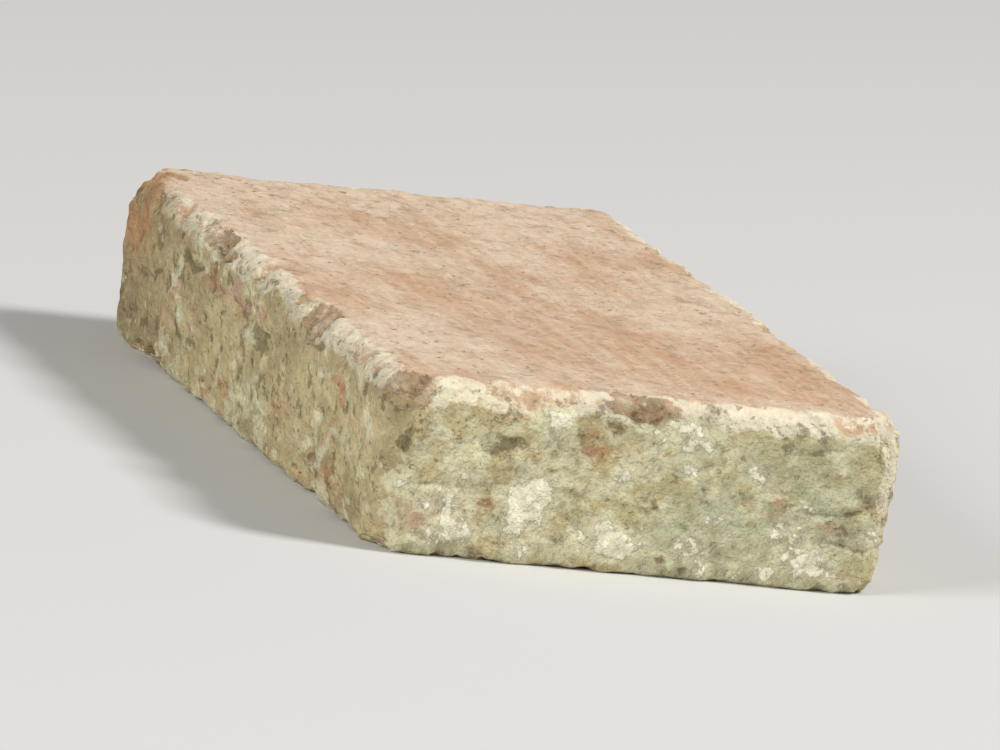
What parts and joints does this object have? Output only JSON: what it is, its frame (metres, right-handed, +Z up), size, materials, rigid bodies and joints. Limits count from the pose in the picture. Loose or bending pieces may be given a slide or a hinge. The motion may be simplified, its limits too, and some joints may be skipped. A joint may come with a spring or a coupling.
{
  "type": "terracotta floor tile",
  "caption": "Rectangular hand-moulded terracotta floor tile, reclaimed: worn walking face, rounded arrises, chipped edges and broken corners.",
  "frame": {"origin": "middle of the bed face, which lies on the floor", "axes": "+X across the tile, +Y along the tile's length, +Z up out of the walking face; the front end faces -Y"},
  "size_m": [0.1196, 0.2396, 0.04],
  "materials": {
    "terracotta": "matt fired clay, weathered"
  },
  "bodies": {
    "root": {"floor_tile": "terracotta"}
  },
  "joints": []
}
